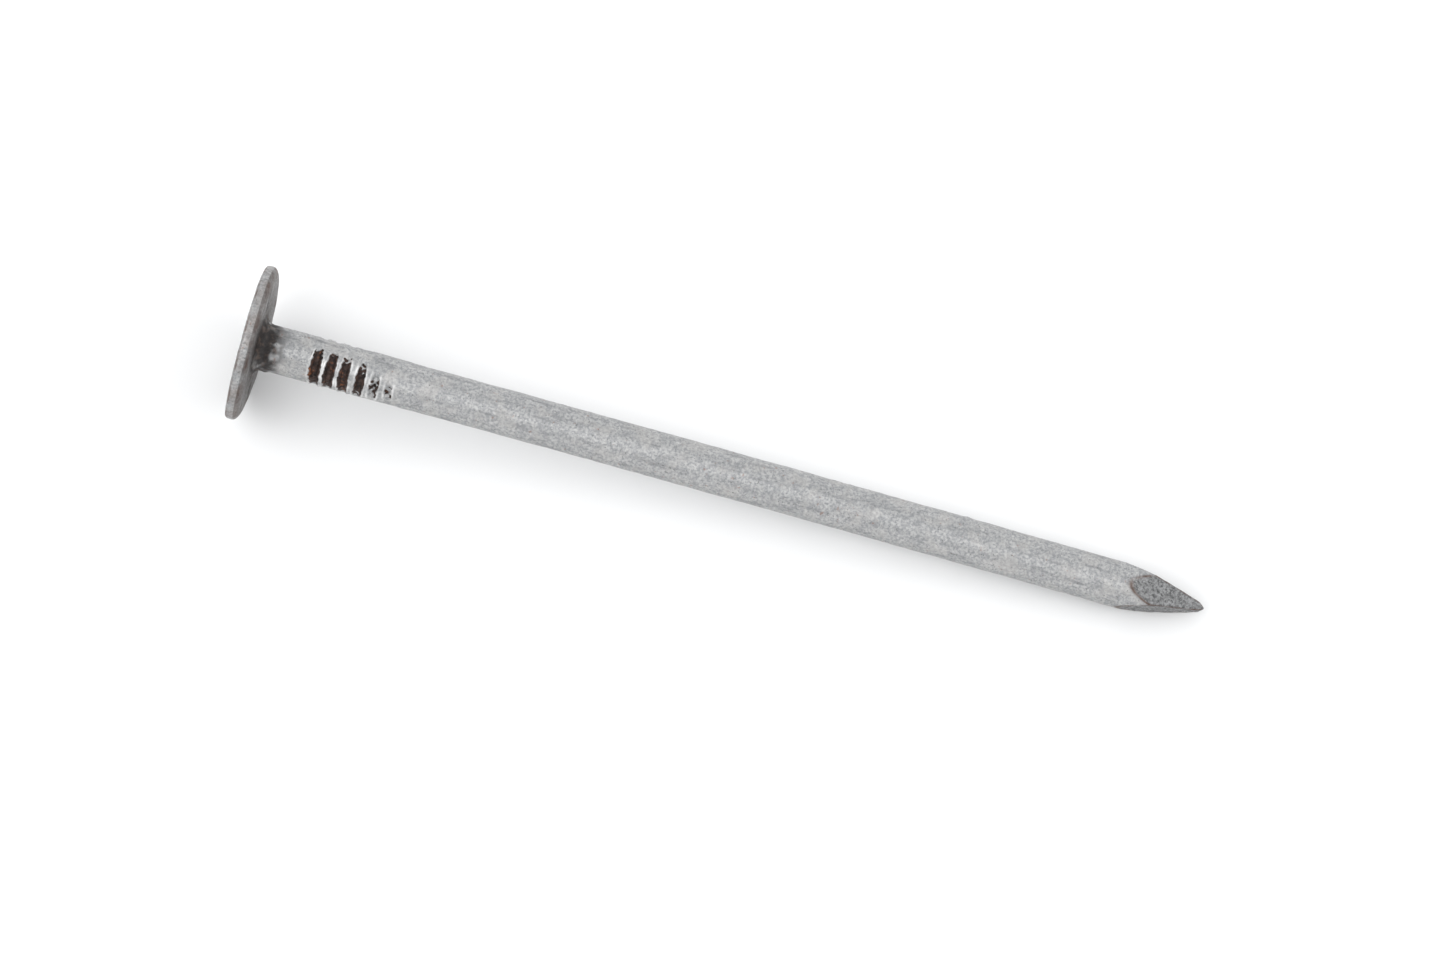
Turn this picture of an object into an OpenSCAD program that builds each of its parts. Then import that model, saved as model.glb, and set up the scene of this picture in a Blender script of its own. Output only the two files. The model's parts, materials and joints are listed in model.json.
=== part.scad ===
// Galvanised clout nail: a cold-headed steel wire with a wide thin head, gripping
// marks under the head, a four-sided diamond point, and a zinc coating over it.
// The nail lies along +X: the head's bearing face is at x = 0 and the point is at
// x = nail_length. +Z is up. All sizes are in millimetres.

/* [Nail] */
// Length from the head's bearing face to the tip, over the coating
nail_length = 65; // [40:1:100]
// Diameter of the steel wire that the nail is made from
wire_d = 2.95; // [2.4:0.05:4]

/* [Head] */
// Diameter of the steel head
head_d = 10.4; // [8:0.1:12]
// Thickness of the steel head
head_t = 0.8; // [0.6:0.05:1.2]
// Width of the head's rounded rim, measured along a radius
rim_w = 0.75; // [0.3:0.05:1]
// Radius of the fillet where the shank flares into the head
neck_fillet = 0.8; // [0.4:0.05:1.2]
// How much heading swells the gripped neck, on the radius
neck_swell = 0.03; // [0.01:0.01:0.08]

/* [Grip marks] */
// Turn of the gripping direction about the shank, from straight up
grip_turn = 52; // [0:1:90]
// Number of marks along each side of the shank
grip_count = 6; // [3:1:10]
// Distance from the bearing face to the middle of the first mark
grip_start = 4.1; // [3:0.1:6]
// Distance between neighbouring marks
grip_pitch = 1.02; // [0.8:0.02:1.4]
// Depth of the first and deepest mark, below the steel's surface
grip_depth = 0.26; // [0.2:0.02:0.4]
// Width of a mark at the surface, along the shank
grip_w = 0.58; // [0.4:0.02:0.7]

/* [Point] */
// Length of the point, from the tip to the far end of a facet
point_length = 5; // [3.5:0.1:7]
// Width of the blunt square end of the steel tip
tip_w = 0.3; // [0.2:0.05:0.6]

/* [Coating] */
// Thickness of the zinc coating
coat_t = 0.06; // [0.04:0.01:0.1]

/* [Hidden] */

wire_r = wire_d / 2;
neck_r = wire_r + neck_swell;
head_r = head_d / 2;
steel_tip_x = nail_length - coat_t;
steel_seat_x = -coat_t;
steel_top_x = steel_seat_x - head_t;

// Slope of a facet: it leaves the wire's surface point_length behind the tip.
facet_slope = atan((wire_r - tip_w / 2) / point_length);
FACETS = 4;
facet_reach = 2 * point_length;

// A gripping tooth is a ring set off the axis, so its mark is deepest in the middle of
// one side and runs out before it reaches the line where the two dies met.
tooth_offset = 0.45;
tooth_tip_w = 0.24;
tooth_h = 1.2;
tooth_root_w = tooth_tip_w + tooth_h * (grip_w - tooth_tip_w) / grip_depth;

// Past the last mark the swollen neck tapers to the wire's own diameter.
taper_x = grip_start + grip_count * grip_pitch;
taper_l = 1;

ARC_STEPS = 8;
$fn = 96;

// Rounded rim: half an ellipse round the head's edge, from the bearing face to the top.
function rim(r, x_mid, half_t) = [
    for (i = [0 : 2 * ARC_STEPS])
        let (a = 90 - 90 * i / ARC_STEPS)
        [r - rim_w + rim_w * cos(a), x_mid + half_t * sin(a)]
];

// Fillet under the head: a hollow quarter circle from the shank to the bearing face.
function fillet(r, x_seat, radius) = [
    for (i = [0 : ARC_STEPS])
        let (a = 90 * i / ARC_STEPS)
        [r + radius * (1 - cos(a)), x_seat + radius * (1 - sin(a))]
];

// Half section of the nail without marks or point, grown outwards by skin.
function half_section(skin) = concat(
    [[0, nail_length + 1]],
    [[wire_r + skin, nail_length + 1]],
    [[wire_r + skin, taper_x + taper_l]],
    [[neck_r + skin, taper_x]],
    fillet(neck_r + skin, steel_seat_x + skin, neck_fillet - skin),
    rim(head_r + skin, (steel_seat_x + steel_top_x) / 2, head_t / 2 + skin),
    [[0, steel_top_x - skin]]
);

module turned_blank(skin) {
    rotate([0, 90, 0])
        rotate_extrude()
            polygon(half_section(skin));
}

// The two pairs of flats that the nipping dies press, and the blunt end of the tip.
module point_cuts(skin) {
    side = 4 * wire_r;
    for (k = [0 : FACETS - 1])
        rotate([grip_turn + 45 + k * 360 / FACETS, 0, 0])
            translate([steel_tip_x, 0, tip_w / 2 + skin / cos(facet_slope)])
                rotate([0, facet_slope, 0])
                    translate([-facet_reach, -side / 2, 0])
                        cube([2 * facet_reach, side, side]);
    translate([steel_tip_x + skin, -side / 2, -side / 2])
        cube([side, side, side]);
}

// Later marks are shallower, because the wire slips out of the teeth as it is headed.
function mark_depth(i) = grip_depth * (1 - pow(i / grip_count, 2));

module tooth(depth) {
    inner_r = neck_r - depth + tooth_offset;
    rotate([0, 90, 0])
        rotate_extrude()
            polygon([
                [inner_r, -tooth_tip_w / 2],
                [inner_r + tooth_h, -tooth_root_w / 2],
                [inner_r + tooth_h, tooth_root_w / 2],
                [inner_r, tooth_tip_w / 2]
            ]);
}

module grip_marks() {
    for (side = [0, 180])
        rotate([grip_turn + side, 0, 0])
            for (i = [0 : grip_count - 1])
                translate([grip_start + i * grip_pitch, 0, -tooth_offset])
                    tooth(mark_depth(i));
}

module steel_core() {
    color("saddlebrown")
        difference() {
            turned_blank(0);
            point_cuts(0);
            grip_marks();
        }
}

module galvanised_coating() {
    color("silver")
        difference() {
            turned_blank(coat_t);
            point_cuts(coat_t);
            grip_marks();
            difference() {
                turned_blank(0);
                point_cuts(0);
            }
        }
}

galvanised_coating();
steel_core();
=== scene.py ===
"""A galvanised clout nail, lying on its head's rim and its tip on a pale floor.

The nail lies along +X, its head's bearing face at x = 0 and its point at the far end. Two pieces
make it: the steel wire, headed, gripped and pointed, and the zinc skin over it. Both are the same
half section carried round the axis, and the skin dips under the steel where a gripping tooth
broke it. Lengths are in metres. Angles round the shank are in radians from straight up.
"""

import json
import math

import bpy
import numpy as np
from mathutils import Matrix, Vector


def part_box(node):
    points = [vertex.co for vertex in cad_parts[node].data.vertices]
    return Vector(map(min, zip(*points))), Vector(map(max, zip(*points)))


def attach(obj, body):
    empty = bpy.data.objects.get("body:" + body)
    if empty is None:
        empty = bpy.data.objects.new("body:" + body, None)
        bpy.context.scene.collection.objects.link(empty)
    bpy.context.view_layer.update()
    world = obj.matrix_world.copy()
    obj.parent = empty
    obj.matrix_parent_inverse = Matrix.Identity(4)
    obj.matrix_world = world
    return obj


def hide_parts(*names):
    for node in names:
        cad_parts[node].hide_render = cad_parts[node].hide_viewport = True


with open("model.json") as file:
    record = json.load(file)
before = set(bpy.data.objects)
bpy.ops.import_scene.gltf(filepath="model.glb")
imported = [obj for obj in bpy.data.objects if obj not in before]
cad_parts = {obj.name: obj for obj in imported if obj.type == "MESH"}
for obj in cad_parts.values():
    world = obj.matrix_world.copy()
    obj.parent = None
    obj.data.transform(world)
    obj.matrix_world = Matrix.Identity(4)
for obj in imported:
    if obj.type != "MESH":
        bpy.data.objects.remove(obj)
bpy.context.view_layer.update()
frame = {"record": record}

MM = 0.001
skin_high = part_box("galvanised_coating")[1]
wire_low, wire_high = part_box("steel_core")
mounts = {m["name"]: m for m in frame["record"]["mounts"]}

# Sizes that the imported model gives.
SKIN_T = skin_high.x - wire_high.x
TIP_X = wire_high.x
TOP_X = wire_low.x
HEAD_R = wire_high.z
WIRE_R = mounts["shank"]["dims"]["r_mm"] * MM - SKIN_T

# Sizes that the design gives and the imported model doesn't name.
SEAT_X = -SKIN_T
NECK_SWELL = 0.03 * MM
NECK_R = WIRE_R + NECK_SWELL
# The swollen neck ends a whole pitch past the last mark.
TAPER_X = 10.22 * MM
TAPER_L = 1.0 * MM
RIM_W = 0.75 * MM
NECK_FILLET = 0.8 * MM
POINT_L = 5.0 * MM
TIP_W = 0.3 * MM
FACET_SLOPE = math.atan((WIRE_R - TIP_W / 2) / POINT_L)
# The four flats aren't cut quite alike: shares of that slope, going round from the grip.
FLAT_SLOPES = [0.90, 1.04, 0.86, 0.98]
# The worn end rounds off over this last length.
TIP_ROUND = 0.35 * MM

GRIP_TURN = math.radians(52)
PARTING_TURN = GRIP_TURN + math.pi / 2
MARK_COUNT = 6
MARK_START = 4.1 * MM
MARK_PITCH = 1.02 * MM
MARK_DEPTH = 0.26 * MM
MARK_W = 0.58 * MM
TOOTH_TIP_W = 0.24 * MM
TOOTH_OFFSET = 0.45 * MM
# How deep, in millimetres, each mark is where its zinc starts to break.
BREAK_DEPTHS = [0.045, 0.045, 0.05, 0.06, 0.11, 0.075]

# Small irregular shapes that headed and gripped wire has.
RIDGE_H = 0.04 * MM
FIN_H = 0.05 * MM
WHISKER_H = 0.03 * MM
FOLD_DEPTH = 0.2 * MM
BOW = 0.10 * MM
# Everything of the head lies nearer than this, and the shank's own shape starts at SHANK_X.
HEAD_END_X = 1 * MM
SHANK_X = 0.6 * MM

# Points round the axis.
AROUND = 160


# ---------------------------------------------------------------- helpers


def steps(start, end, count):
    """Evenly spaced values from start up to, but without, end."""
    return np.linspace(start, end, count, endpoint=False)


def hump(distance, width):
    """A bell: one at distance 0, falling off over width on both sides."""
    return np.exp(-((distance / width) ** 2))


def ramp(value, low, high):
    """A smooth step from 0 at low to 1 at high."""
    t = np.clip((value - low) / (high - low), 0, 1)
    return t * t * (3 - 2 * t)


def soft_min(a, b, blend):
    """The smaller of two lengths, with the corner between them rounded over blend."""
    h = np.clip(0.5 + 0.5 * (b - a) / blend, 0, 1)
    return b + (a - b) * h - blend * h * (1 - h)


def turned_from(theta, centre):
    """How far theta is from centre, wrapped into the half turn either side."""
    return (theta - centre + math.pi) % (2 * math.pi) - math.pi


def ripples(points, size, seed, waves=28):
    """Smooth noise of unit strength: the sum of cosine waves in random directions.

    Their lengths lie between 0.7 and 1.6 times size, so the bumps are about size across.
    """
    rng = np.random.default_rng(seed)
    way = rng.normal(size=(waves, 3))
    way /= np.linalg.norm(way, axis=1, keepdims=True)
    number = 2 * math.pi / (size * rng.uniform(0.7, 1.6, waves))
    phase = rng.uniform(0, 2 * math.pi, waves)
    total = np.zeros(points.shape[:-1])
    for k in range(waves):
        total += np.cos(points @ (way[k] * number[k]) + phase[k])
    return total * math.sqrt(2 / waves)


# ---------------------------------------------------------------- the shape


def half_section(skin):
    """Stations along the half section, from the middle of the struck face to the tip.

    The struck face runs out to the rim. The rim is a quarter of the squarish curve
    |x|^5 + |r|^5 = 1 at the struck face, which leaves a crisp corner, and a quarter of an ellipse
    under it. The bearing face runs in to a hollow quarter circle, and the neck, its taper and the
    shank run straight to the tip. Each station has x, radius, and the outward normal's two parts.
    """
    seat = SEAT_X + skin
    top = TOP_X - skin
    rim_r = HEAD_R - RIM_W + skin
    fillet = NECK_FILLET - skin
    neck = NECK_R + skin
    wire = WIRE_R + skin
    tip = TIP_X + skin

    face_r = steps(0.02 * MM, rim_r, 34)
    crisp_a = steps(0, math.pi / 2, 18)
    round_a = steps(math.pi / 2, math.pi, 14)
    under_r = steps(rim_r, neck + fillet, 30)
    fillet_a = steps(0, math.pi / 2, 14)
    neck_x = steps(seat + fillet, TAPER_X, 232)
    taper_x = steps(TAPER_X, TAPER_X + TAPER_L, 8)
    shank_x = steps(TAPER_X + TAPER_L, tip - 1.15 * POINT_L, 150)
    point_x = steps(tip - 1.15 * POINT_L, tip - TIP_ROUND, 84)
    end_x = tip - TIP_ROUND * (1 - np.linspace(0, 1, 8) ** 0.6)

    x = [np.full(face_r.shape, top)]
    r = [face_r]
    x.append((seat + top) / 2 - (seat - top) / 2 * np.cos(crisp_a) ** 0.4)
    r.append(rim_r + RIM_W * np.sin(crisp_a) ** 0.4)
    x.append((seat + top) / 2 - (seat - top) / 2 * np.cos(round_a))
    r.append(rim_r + RIM_W * np.sin(round_a))
    x.append(np.full(under_r.shape, seat))
    r.append(under_r)
    x.append(seat + fillet * (1 - np.cos(fillet_a)))
    r.append(neck + fillet * (1 - np.sin(fillet_a)))
    x.append(neck_x)
    r.append(np.full(neck_x.shape, neck))
    x.append(taper_x)
    r.append(neck + (wire - neck) * (taper_x - TAPER_X) / TAPER_L)
    x.append(shank_x)
    r.append(np.full(shank_x.shape, wire))
    x.append(point_x)
    r.append(np.full(point_x.shape, wire))
    x.append(end_x)
    r.append(np.full(end_x.shape, wire))
    x, r = np.concatenate(x), np.concatenate(r)

    dx, dr = np.gradient(x), np.gradient(r)
    length = np.hypot(dx, dr) + 1e-12
    return x, r, -dr / length, dx / length


def facet_radius(x, theta, skin):
    """Radius of the four flats of the point: each is a plane that nears the axis to the tip.

    A plane at distance d from the axis has the radius d / cos(turn from the flat's middle), and
    the point's radius is the least of the four. How much farther out the next plane lies is
    returned too: it is 0 along the edges between the flats.
    """
    planes = []
    for k, share in enumerate(FLAT_SLOPES):
        depth = TIP_W / 2 + (TIP_X - x) * share * math.tan(FACET_SLOPE)
        depth = depth + skin / math.cos(FACET_SLOPE)
        facing = np.cos(theta - GRIP_TURN - (k + 0.5) * math.pi / 2)
        planes.append(np.maximum(depth, TIP_W / 4) / np.maximum(facing, 0.05))
    planes = np.sort(planes, axis=0)
    return planes[0], planes[1] - planes[0]


def mark_depths(x, theta, rough):
    """Depth of the gripping marks below the neck, the ridges beside them, and where zinc is gone.

    A tooth is a ring of radius q set off the axis by e, so at the turn a from the middle of its
    side the mark is neck - (sqrt(q^2 - e^2 sin^2 a) - e cos a) deep. Along the shank it has a flat
    floor and sloping flanks. The steel it pushed out stands as a low ridge beside each flank, and
    the zinc broke away as far as the foot of that ridge. Rough makes the broken edge ragged.
    """
    rng = np.random.default_rng(7)
    flank = MARK_DEPTH / ((MARK_W - TOOTH_TIP_W) / 2)
    depth = np.zeros(np.broadcast(x, theta).shape)
    ridge = np.zeros(depth.shape)
    bare = np.zeros(depth.shape)
    for side in (0, math.pi):
        turn = turned_from(theta, GRIP_TURN + side)
        for i in range(MARK_COUNT):
            full = MARK_DEPTH * (1 - (i / MARK_COUNT) ** 2)
            ring = NECK_R - full + TOOTH_OFFSET
            inner = np.sqrt(ring**2 - (TOOTH_OFFSET * np.sin(turn)) ** 2)
            at_turn = NECK_R - (inner - TOOTH_OFFSET * np.cos(turn))
            at_turn = np.where(np.abs(turn) < 0.48 * math.pi, at_turn, -MARK_DEPTH)
            middle = MARK_START + i * MARK_PITCH + rng.uniform(-0.05, 0.05) * MM
            skew = rng.uniform(-0.07, 0.07) * MM
            wander = 0.025 * MM * np.sin(3 * turn + rng.uniform(0, 6))
            away = np.abs(x - middle - skew * turn - wander)
            cut = at_turn - flank * np.maximum(away - TOOTH_TIP_W / 2, 0)
            depth = np.maximum(depth, cut)
            edge = away - (TOOTH_TIP_W / 2 + np.maximum(at_turn, 0) / flank)
            strength = ramp(at_turn, 0.0, 0.12 * MM)
            ridge = np.maximum(ridge, strength * hump(edge - 0.15 * MM, 0.08 * MM))
            gone = ramp(0.10 * MM - edge + 0.03 * MM * rough, 0, 0.06 * MM)
            least = BREAK_DEPTHS[i] * MM
            gone = gone * ramp(at_turn + 0.03 * MM * rough, least, least + 0.055 * MM)
            bare = np.maximum(bare, gone)
    return depth, ridge, bare


def nail_surface(skin):
    """Points of the nail, grown outwards by skin, and the masks for its finish.

    A point at a station and a turn is x along, -r sin(turn) across and r cos(turn) up. The radius
    r is the half section's, cut by the point's flats and the marks, and raised by the ridges, the
    two parting fins and the whiskers on the flats' edges. On the head r is stretched by cosines
    of the turn, and x is shifted by a dish and a saddle. Then every point moves along its own
    normal by the skin's roughness, and the shank bows by half a sine wave.
    """
    x0, r0, nx, nr = half_section(skin)
    theta = GRIP_TURN + 2 * math.pi * np.arange(AROUND) / AROUND
    x = x0[:, None] + 0 * theta
    r = r0[:, None] + 0 * theta
    turn = theta[None, :] + 0 * x
    plain = np.stack([x, -r * np.sin(turn), r * np.cos(turn)], axis=-1)

    # The shank's own shape: the point's flats, the marks, and the die's parting fins.
    along = x0[:, None] > SHANK_X
    flats, to_next = facet_radius(x, turn, skin)
    r = np.where(along, soft_min(r, flats, 0.035 * MM), r)
    parting = np.abs(turned_from(2 * turn, 2 * PARTING_TURN)) / 2
    across = parting * r

    rough = ripples(plain, 0.30 * MM, 11)
    depth, ridge, bare = mark_depths(x, turn, rough)
    depth = np.maximum(depth * (1 + 0.14 * rough), 0)
    uneven = 1 + 0.55 * ripples(plain, 0.7 * MM, 12)
    raised = RIDGE_H * ridge * np.clip(uneven, 0, 2) * (1 - bare)
    r = r - np.where(along, depth + 2.2 * skin * bare - raised, 0)

    fin_run = ramp(x, 0.3 * MM, 1 * MM) * (1 - ramp(x, 8 * MM, 11 * MM))
    fin = FIN_H * hump(across, 0.09 * MM) * fin_run
    fin = fin * (1 + 0.5 * ripples(plain, 1.1 * MM, 14))
    cut_back = ramp(WIRE_R + skin - flats, 0.1 * MM, 0.5 * MM)
    whisker = WHISKER_H * cut_back * hump(to_next, 0.12 * MM) * (1 - ramp(x, TIP_X - MM, TIP_X))
    r = r + np.where(along, fin + whisker, 0)
    r = r * np.sqrt(np.clip((TIP_X + skin - x) / TIP_ROUND, 0.02, 1))

    # The head: not quite round, slightly dished, with the fold where the two dies met.
    share = np.clip((r - NECK_R) / (HEAD_R - NECK_R), 0, 1.1) * (x0[:, None] < HEAD_END_X)
    outline = 0.006 * np.cos(2 * turn + 0.7) + 0.004 * np.cos(3 * turn + 2.1)
    outline = outline + 0.003 * np.cos(5 * turn + 4.0)
    r = r * (1 + outline * share)
    dish = 0.10 * MM * share**2 * (1 + np.cos(turn - 0.2)) / 2
    saddle = 0.05 * MM * share**2 * np.cos(2 * turn - 1.1)
    x = x + dish + saddle

    under = (nx[:, None] > 0.3) & (x0[:, None] < 0.2 * MM)
    one_side = np.cos(turn - PARTING_TURN) > 0
    fold_from = np.where(one_side, 2.9 * MM, 2.5 * MM)
    fold_to = np.where(one_side, 5.6 * MM, 4.7 * MM)
    fold_run = ramp(r, fold_from, fold_from + 0.6 * MM) * (1 - ramp(r, fold_to - 0.4 * MM, fold_to))
    wavy = across + 0.06 * MM * ripples(plain, 1.2 * MM, 15)
    seam = hump(wavy, 0.13 * MM) * fold_run
    faint = hump(wavy, 0.07 * MM) * ramp(r, 2.2 * MM, 2.6 * MM)
    fold = np.where(under, FOLD_DEPTH * seam + 0.03 * MM * faint, 0)

    # Rough skin: lumps as wide as the wire, dimples a third of that, and a few beads of zinc.
    lumps = 0.007 * MM * ripples(plain, 2.4 * MM, 21) + 0.005 * MM * ripples(plain, 0.8 * MM, 22)
    grain = 0.0035 * MM * ripples(plain, 0.33 * MM, 23, waves=36)
    proud = lumps + grain - fold
    if skin > 0:
        proud = proud + zinc_beads(plain)
    x = x + proud * nx[:, None]
    r = r + proud * nr[:, None]

    # The shank bows very slightly between head and point.
    bow = BOW * np.sin(math.pi * np.clip(x / TIP_X, 0, 1))
    points = np.stack([x, -r * np.sin(turn) + bow, r * np.cos(turn)], axis=-1)

    # Masks: neck stain, dark folds, brown edges with a painted lip shadow, painted ridge highlights,
    # flats, painted shade under the head and a darker face.
    patchy = ripples(plain, 1.3 * MM, 31) + 0.6 * ripples(plain, 0.45 * MM, 32)
    up_neck = 1 - ramp(x + 0.3 * MM * patchy, 0.2 * MM, 2.7 * MM)
    out_head = 1 - ramp(r + 0.25 * MM * patchy, 1.9 * MM, 2.7 * MM)
    corner = ramp(x, -0.5 * MM, 0.0) * up_neck * out_head * (0.72 + 0.38 * np.cos(turn - 0.6))
    stain = np.clip(corner * (1.1 + 0.35 * patchy), 0, 1)
    stain = np.maximum(stain, np.where(under, np.clip(1.3 * seam + 0.3 * faint, 0, 1), 0))
    on_rim = (x0[:, None] < 0) & (r0[:, None] > HEAD_R - RIM_W)
    rim_edge = np.maximum(hump(nx[:, None] + 0.55, 0.25), 0.5 * hump(nx[:, None] - 0.8, 0.2))
    rim_edge = np.maximum(rim_edge, 0.34) * on_rim
    # A painted shadow line in the crease where the rim meets the underside; it also deepens the
    # painted shade below.
    painted_lip_shadow = hump(r0[:, None] - HEAD_R + RIM_W + 0.12 * MM * patchy, 0.15 * MM) * (nx[:, None] > 0.5)
    painted_lip_shadow = painted_lip_shadow * ramp(patchy, -0.2, 1.1)
    rim_edge = np.maximum(rim_edge, 0.45 * painted_lip_shadow)
    off_shank = (WIRE_R + skin - flats) / MM
    facet_edge = hump(off_shank - 0.02, 0.045) * along
    corner_edge = hump(to_next, 0.11 * MM) * ramp(off_shank, 0, 0.1) * along
    edge = np.clip(rim_edge * (0.75 + 0.35 * patchy), 0, 1)
    edge = np.maximum(edge, np.clip((facet_edge + 0.8 * corner_edge) * (0.85 + 0.3 * patchy), 0, 1))
    # Painted highlights along the crests of the ridges beside the marks.
    painted_ridge_highlight = np.clip(ridge * (1 - bare) * (0.7 + 0.3 * patchy), 0, 1) * along
    on_point = ramp(off_shank, 0, 0.08) * along
    # Painted shade over the whole underside of the head, deepest near the neck and at the rim's lip;
    # the struck face is made darker too.
    near_neck = 1 - ramp(r + 0.2 * MM * patchy, 2.0 * MM, 4.6 * MM)
    painted_underside_shade = np.clip(0.70 + 0.30 * near_neck + 0.25 * painted_lip_shadow + 0.07 * patchy, 0, 1)
    painted_underside_shade = painted_underside_shade * (nx[:, None] > 0.45)
    darker_face = np.where(nx[:, None] < -0.9, np.clip(0.45 + 0.08 * patchy, 0, 1), 0)
    under_shade_dark_face = np.maximum(painted_underside_shade, darker_face) * (x0[:, None] < 0.3 * MM)
    masks = {"stain": stain, "edge": edge, "painted_ridge_highlight": painted_ridge_highlight, "flat": on_point, "under_shade_dark_face": under_shade_dark_face}
    return points, masks


def zinc_beads(plain):
    """Beads where the zinc ran together and set: bells a few tenths of a millimetre across."""
    rng = np.random.default_rng(41)
    height = np.zeros(plain.shape[:-1])
    for _ in range(9):
        at_x = rng.choice([rng.uniform(0.3, 0.9), rng.uniform(10, 60)]) * MM
        at_turn = rng.uniform(0, 2 * math.pi)
        at_r = WIRE_R + SKIN_T
        middle = np.array([at_x, -at_r * math.sin(at_turn), at_r * math.cos(at_turn)])
        away = np.linalg.norm(plain - middle, axis=-1)
        height += rng.uniform(0.03, 0.08) * MM * hump(away, rng.uniform(0.12, 0.28) * MM)
    return height


def closed_mesh(name, points, masks):
    """A mesh from a grid of stations by turns, closed at both ends by one point each.

    The grid wraps round in the turn, and its first and last stations are fans of triangles. Each
    four-sided face runs station, next turn, next station, so that it faces outwards.
    """
    rows, turns = points.shape[:2]
    first = points[0].mean(axis=0)
    last = points[-1].mean(axis=0)
    verts = np.concatenate([points.reshape(-1, 3), [first], [last]])

    i = np.arange(rows - 1)[:, None]
    j = np.arange(turns)[None, :]
    k = (j + 1) % turns
    here = i * turns
    on = here + turns
    quads = np.stack([here + j, here + k, on + k, on + j], axis=-1).reshape(-1, 4)
    ring = np.arange(turns)
    after = (ring + 1) % turns
    base = (rows - 1) * turns
    start = np.stack([after, ring, np.full(turns, rows * turns)], axis=-1)
    end = np.stack([base + ring, base + after, np.full(turns, rows * turns + 1)], axis=-1)
    faces = np.concatenate([start, end]).tolist() + quads.tolist()

    mesh = bpy.data.meshes.new(name)
    mesh.from_pydata(verts.tolist(), [], faces)
    mesh.polygons.foreach_set("use_smooth", np.ones(len(faces), bool))
    for mask, values in masks.items():
        ends = [[values[0].mean()], [values[-1].mean()]]
        spread = np.concatenate([values.reshape(-1), *ends])
        layer = mesh.attributes.new(mask, "FLOAT", "POINT")
        layer.data.foreach_set("value", spread.astype(np.float32))
    mesh.update()
    piece = bpy.data.objects.new(name, mesh)
    bpy.context.scene.collection.objects.link(piece)
    return piece


# ---------------------------------------------------------------- materials


class Nodes:
    """Small helper that adds and links shader nodes."""

    def __init__(self, name):
        self.material = bpy.data.materials.new(name)
        self.material.use_nodes = True
        self.tree = self.material.node_tree
        self.tree.nodes.clear()
        self.output = self.tree.nodes.new("ShaderNodeOutputMaterial")
        self.shader = self.tree.nodes.new("ShaderNodeBsdfPrincipled")
        self.link(self.shader.outputs["BSDF"], self.output.inputs["Surface"])
        self.coords = self.tree.nodes.new("ShaderNodeTexCoord").outputs["Object"]

    def link(self, a, b):
        """Joins output a to input b."""
        self.tree.links.new(a, b)

    def put(self, socket, value):
        """Links value into socket if it is an output, or sets it there."""
        if hasattr(value, "is_output"):
            self.link(value, socket)
        else:
            socket.default_value = value

    def scaled(self, x, y, z):
        """Object coordinates in millimetres, stretched by x, y and z."""
        node = self.tree.nodes.new("ShaderNodeMapping")
        self.link(self.coords, node.inputs["Vector"])
        node.inputs["Scale"].default_value = (x / MM, y / MM, z / MM)
        return node.outputs["Vector"]

    def noise(self, vector, scale, detail=3, rough=0.55, distort=0.0):
        """Cloudy pattern with about scale blots to the millimetre."""
        node = self.tree.nodes.new("ShaderNodeTexNoise")
        self.link(vector, node.inputs["Vector"])
        node.inputs["Scale"].default_value = scale
        node.inputs["Detail"].default_value = detail
        node.inputs["Roughness"].default_value = rough
        node.inputs["Distortion"].default_value = distort
        return node.outputs["Fac"]

    def cells(self, vector, scale):
        """Distance to the nearest of about scale scattered points to the millimetre."""
        node = self.tree.nodes.new("ShaderNodeTexVoronoi")
        self.link(vector, node.inputs["Vector"])
        node.inputs["Scale"].default_value = scale
        return node.outputs["Distance"]

    def between(self, value, low, high, to_low=0.0, to_high=1.0):
        """A smooth step that takes low to to_low and high to to_high."""
        node = self.tree.nodes.new("ShaderNodeMapRange")
        node.interpolation_type = "SMOOTHSTEP"
        self.put(node.inputs["Value"], value)
        node.inputs["From Min"].default_value = low
        node.inputs["From Max"].default_value = high
        node.inputs["To Min"].default_value = to_low
        node.inputs["To Max"].default_value = to_high
        return node.outputs["Result"]

    def maths(self, operation, a, b=0.0):
        """One sum of a and b."""
        node = self.tree.nodes.new("ShaderNodeMath")
        node.operation = operation
        self.put(node.inputs[0], a)
        self.put(node.inputs[1], b)
        return node.outputs["Value"]

    def mix(self, factor, a, b):
        """Colour a where factor is 0, b where it is 1."""
        node = self.tree.nodes.new("ShaderNodeMix")
        node.data_type = "RGBA"
        self.put(node.inputs["Factor"], factor)
        self.put(node.inputs["A"], a)
        self.put(node.inputs["B"], b)
        return node.outputs["Result"]

    def mask(self, name):
        """The value of a mask that the piece carries on its points."""
        node = self.tree.nodes.new("ShaderNodeAttribute")
        node.attribute_name = name
        return node.outputs["Fac"]

    def bump(self, height, distance, strength=1.0, under=None):
        """A normal tilted by height, over the normal under."""
        node = self.tree.nodes.new("ShaderNodeBump")
        self.link(height, node.inputs["Height"])
        node.inputs["Distance"].default_value = distance
        node.inputs["Strength"].default_value = strength
        if under is not None:
            self.link(under, node.inputs["Normal"])
        return node.outputs["Normal"]

    def colour(self, value):
        """Sets the finish's colour."""
        self.put(self.shader.inputs["Base Color"], value)

    def finish(self, metallic, roughness, normal):
        """Sets the rest of the shader and returns the material."""
        self.put(self.shader.inputs["Metallic"], metallic)
        self.put(self.shader.inputs["Roughness"], roughness)
        self.put(self.shader.inputs["Normal"], normal)
        return self.material


def grey(level, warm=0.0):
    """A grey of that linear level, a little warmer or cooler."""
    return (level * (1 + warm), level, level * (1 - warm), 1)


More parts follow.
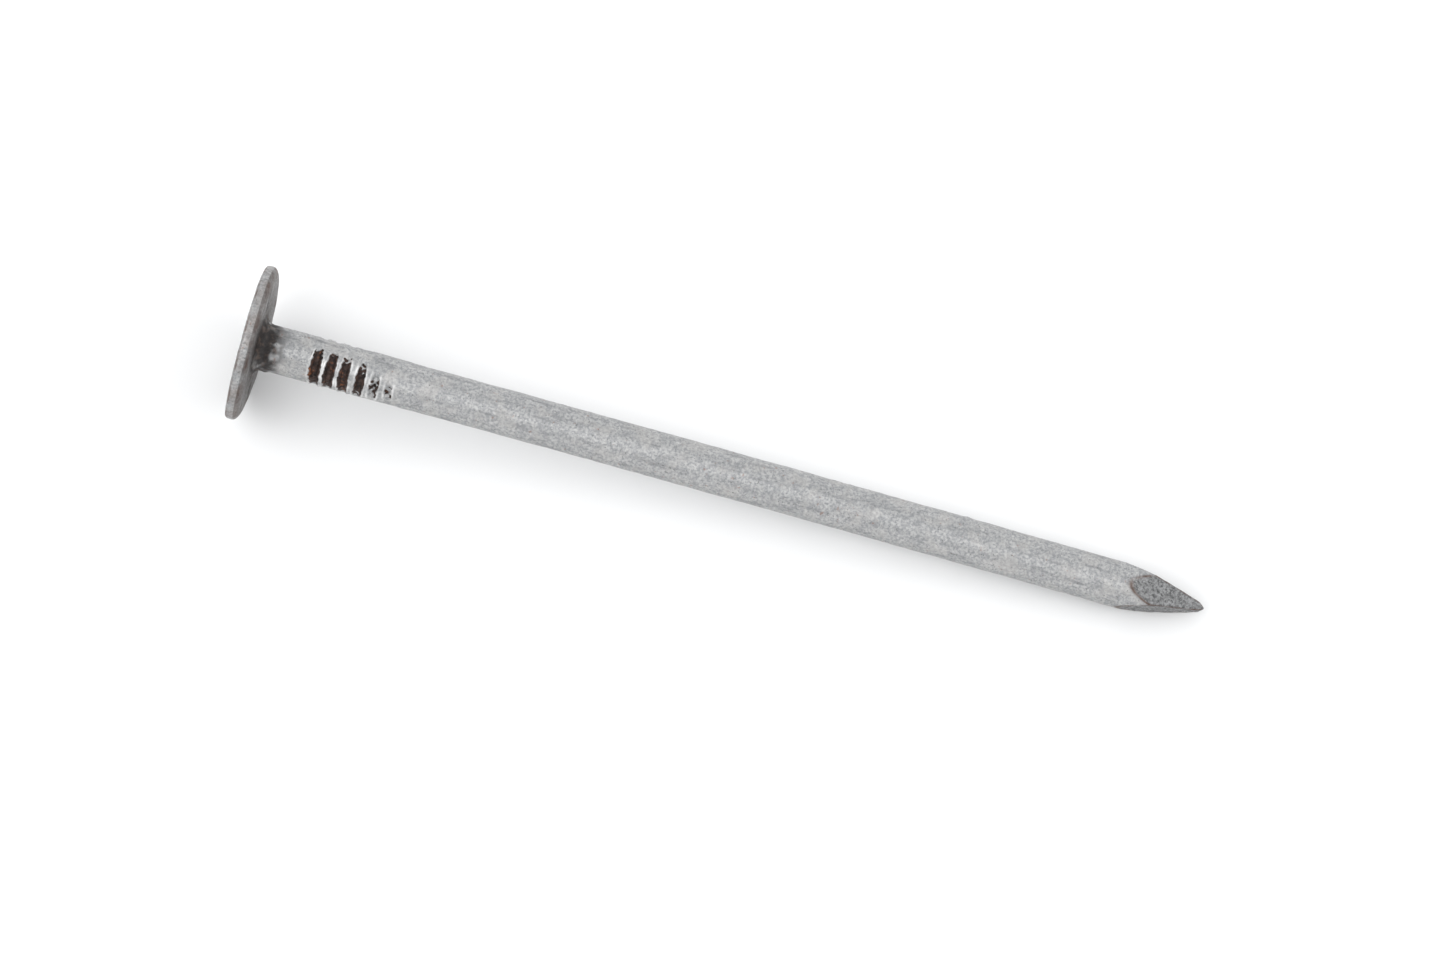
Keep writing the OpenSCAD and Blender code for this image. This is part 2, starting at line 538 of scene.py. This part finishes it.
def zinc_finish():
    """Dull hot-dipped zinc: fine crystals, drawing streaks, dark pits, brown edges and stains,
    painted shade under the head and at the rim's lip, and painted highlights on the ridges.
    """
    n = Nodes("dull_zinc")
    even = n.scaled(1, 1, 1)
    drawn = n.scaled(0.16, 1, 1)
    crystals = n.noise(even, 5.5, detail=4, rough=0.7)
    patches = n.noise(even, 1.7, detail=4, rough=0.65)
    mottling = n.noise(even, 0.7, detail=3)
    streaks = n.noise(drawn, 2.6, detail=4, rough=0.6)
    specks = n.noise(even, 8.0, detail=2)
    flecks = n.noise(even, 2.6, detail=2)
    pits = n.cells(even, 3.4)

    colour = n.mix(n.between(crystals, 0.36, 0.66), grey(0.30, -0.02), grey(0.49, 0.008))
    colour = n.mix(n.between(patches, 0.44, 0.62, 0.0, 0.4), colour, grey(0.28, -0.025))
    colour = n.mix(n.between(mottling, 0.48, 0.66, 0.0, 0.4), colour, grey(0.46, 0.035))
    colour = n.mix(n.between(streaks, 0.52, 0.72, 0.0, 0.6), colour, grey(0.21, -0.025))
    colour = n.mix(n.between(specks, 0.63, 0.73, 0.0, 0.75), colour, grey(0.09))
    colour = n.mix(n.between(flecks, 0.67, 0.75, 0.0, 0.5), colour, (0.25, 0.13, 0.095, 1))
    dark_flat = n.mix(n.between(crystals, 0.36, 0.60), grey(0.075, 0.0), grey(0.27, -0.01))
    dark_flat = n.mix(n.between(patches, 0.42, 0.62, 0.0, 0.4), dark_flat, grey(0.10, 0.0))
    colour = n.mix(n.maths("MULTIPLY", n.mask("flat"), 0.9), colour, dark_flat)
    # Painted shade: the head's underside is coloured near black brown, and the struck face is
    # darkened with the same colour.
    under_shade_dark_face_tone = n.mix(n.between(flecks, 0.4, 0.62), (0.035, 0.028, 0.025, 1), (0.075, 0.058, 0.050, 1))
    colour = n.mix(n.maths("MULTIPLY", n.mask("under_shade_dark_face"), 0.88), colour, under_shade_dark_face_tone)
    # Brown on the worn edges of the rim and the flats, with a painted shadow line along the rim's
    # lip.
    colour = n.mix(n.maths("MULTIPLY", n.mask("edge"), 0.85), colour, (0.095, 0.055, 0.040, 1))
    # Painted highlight: the ridges' crests are coloured near white.
    colour = n.mix(n.maths("MULTIPLY", n.mask("painted_ridge_highlight"), 0.85), colour, grey(0.78, 0.01))
    speckle = n.maths("MULTIPLY", n.maths("SUBTRACT", crystals, 0.5), 0.9)
    speckled = n.maths("ADD", n.mask("stain"), speckle)
    stained = n.between(speckled, 0.08, 0.92, 0.0, 0.97)
    stained = n.maths("MULTIPLY", stained, n.between(n.mask("stain"), 0.0, 0.15))
    brown = n.mix(n.between(flecks, 0.48, 0.66), (0.014, 0.010, 0.009, 1), (0.060, 0.040, 0.031, 1))
    colour = n.mix(stained, colour, brown)

    rough = n.between(crystals, 0.3, 0.7, 0.58, 0.36)
    rough = n.maths("SUBTRACT", rough, n.maths("MULTIPLY", n.mask("painted_ridge_highlight"), 0.1))
    rough = n.maths("ADD", rough, n.maths("MULTIPLY", stained, 0.2))
    metallic = n.between(stained, 0.0, 1.0, 0.8, 0.15)

    height = n.maths("ADD", n.maths("MULTIPLY", crystals, 0.6), n.maths("MULTIPLY", specks, 0.35))
    normal = n.bump(height, 0.05 * MM, 0.8)
    normal = n.bump(patches, 0.08 * MM, 0.5, under=normal)
    normal = n.bump(streaks, 0.03 * MM, 0.4, under=normal)
    normal = n.bump(n.between(pits, 0.0, 0.18), 0.02 * MM, 0.5, under=normal)
    n.colour(colour)
    return n.finish(metallic, rough, normal)


def scaled_steel_finish():
    """Steel left bare in the marks: dark brown oxide with patches of orange rust."""
    n = Nodes("brown_steel")
    even = n.scaled(1, 1, 1)
    oxide = n.noise(even, 3.0, detail=4, rough=0.65)
    rust = n.noise(even, 1.7, detail=5, rough=0.7, distort=0.4)
    colour = n.mix(n.between(oxide, 0.35, 0.65), (0.012, 0.008, 0.007, 1), (0.060, 0.033, 0.025, 1))
    colour = n.mix(n.between(rust, 0.55, 0.69, 0.0, 0.8), colour, (0.27, 0.095, 0.035, 1))
    rough = n.between(oxide, 0.3, 0.7, 0.75, 0.5)
    normal = n.bump(oxide, 0.06 * MM, 0.7)
    n.colour(colour)
    return n.finish(0.35, rough, normal)


def floor_finish():
    """Matt white card with a hardly visible tooth."""
    n = Nodes("white_card")
    tooth = n.noise(n.scaled(0.02, 0.02, 0.02), 6.0, detail=2)
    n.colour(n.mix(tooth, (0.86, 0.86, 0.86, 1), (0.88, 0.88, 0.88, 1)))
    return n.finish(0.0, 0.85, n.bump(tooth, 0.02 * MM, 0.1))


# ---------------------------------------------------------------- the pieces

zinc = zinc_finish()
brown_steel = scaled_steel_finish()

skin_points, skin_masks = nail_surface(SKIN_T)
skin = closed_mesh("zinc_skin", skin_points, skin_masks)
skin.data.materials.append(zinc)
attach(skin, "root")
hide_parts("galvanised_coating")

wire_points, wire_masks = nail_surface(0.0)
wire = closed_mesh("steel_wire", wire_points, wire_masks)
wire.data.materials.append(brown_steel)
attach(wire, "root")
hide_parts("steel_core")


# ---------------------------------------------------------------- floor, lights and camera

# The floor touches the head's rim and the tip, so it is tilted under the nail, which lies along X.
lowest = skin_points.reshape(-1, 3)
on_rim = lowest[lowest[:, 0] < 1 * MM]
rim_foot = on_rim[np.argmin(on_rim[:, 2])]
near_tip = lowest[lowest[:, 0] > TIP_X - POINT_L]
rises = (near_tip[:, 2] - rim_foot[2]) / (near_tip[:, 0] - rim_foot[0])
tilt = math.atan(float(rises.min()))
floor_up = Vector((-math.sin(tilt), 0, math.cos(tilt)))
floor_turn = Matrix.Rotation(-tilt, 4, "Y")


def lay_floor():
    """A wide flat sheet through the rim's foot, turned by the nail's own tilt."""
    half = 0.9
    low = 0.02 * MM
    x = np.array([-half, half, half, -half])
    y = np.array([-half, -half, half, half])
    corners = np.stack([x, y, np.full(4, -low)], axis=-1)
    turn = np.array(floor_turn.to_3x3())
    mesh = bpy.data.meshes.new("floor")
    mesh.from_pydata((corners @ turn.T + rim_foot).tolist(), [], [(0, 1, 2, 3)])
    mesh.materials.append(floor_finish())
    floor = bpy.data.objects.new("floor", mesh)
    bpy.context.scene.collection.objects.link(floor)


def over_floor(azimuth, elevation):
    """The direction at that azimuth and elevation above the tilted floor."""
    a, e = math.radians(azimuth), math.radians(elevation)
    level = Vector((math.sin(a) * math.cos(e), -math.cos(a) * math.cos(e), math.sin(e)))
    return (floor_turn @ level).normalized()


def soft_light(name, azimuth, elevation, size, power):
    """An area light, LIGHT_AWAY from the nail's middle, that faces it."""
    light = bpy.data.lights.new(name, "AREA")
    light.shape = "RECTANGLE"
    light.size, light.size_y = size
    light.energy = power
    lamp = bpy.data.objects.new(name, light)
    way = over_floor(azimuth, elevation)
    lamp.location = middle + way * LIGHT_AWAY
    lamp.rotation_mode = "QUATERNION"
    lamp.rotation_quaternion = (-way).to_track_quat("-Z", "Y")
    bpy.context.scene.collection.objects.link(lamp)


def look_at_nail(azimuth, elevation, view_width, lens):
    """A long lens that sees view_width across the nail's middle."""
    data = bpy.data.cameras.new("camera")
    data.lens = lens
    data.sensor_width = 36.0
    distance = view_width * lens / 36.0
    data.clip_start, data.clip_end = 0.01, 10.0
    camera = bpy.data.objects.new("camera", data)
    way = over_floor(azimuth, elevation)
    camera.location = middle + way * distance
    camera.rotation_mode = "QUATERNION"
    side = floor_up.cross(way).normalized()
    up = way.cross(side)
    camera.rotation_quaternion = Matrix((side, up, way)).transposed().to_quaternion()
    bpy.context.scene.collection.objects.link(camera)
    bpy.context.scene.camera = camera


LIGHT_AWAY = 0.6
middle = Vector(((TOP_X + TIP_X) / 2, 0.0, -1.5 * MM))
lay_floor()

world = bpy.data.worlds.new("studio")
world.use_nodes = True
world.node_tree.nodes["Background"].inputs["Color"].default_value = (0.96, 0.98, 1.0, 1)
world.node_tree.nodes["Background"].inputs["Strength"].default_value = 0.5
bpy.context.scene.world = world
bpy.context.scene.view_settings.view_transform = "Standard"

# A wide canopy gives the even tone, and a small key gives the crown of the shank its gleam.
soft_light("overhead_softbox", 0, 84, (1.3, 1.6), 4.6)
soft_light("key_softbox", -40, 62, (0.3, 0.3), 0.5)
# Low strips past both ends light the floor. Those in front and behind light the shank's edges.
soft_light("left_strip", -90, 28, (0.5, 0.3), 0.9)
soft_light("right_strip", 90, 28, (0.5, 0.3), 0.9)
soft_light("front_strip", 0, 6, (1.1, 0.11), 0.75)
soft_light("back_strip", 180, 17, (1.1, 0.26), 1.15)

look_at_nail(15.3, 70, 96 * MM, 200)
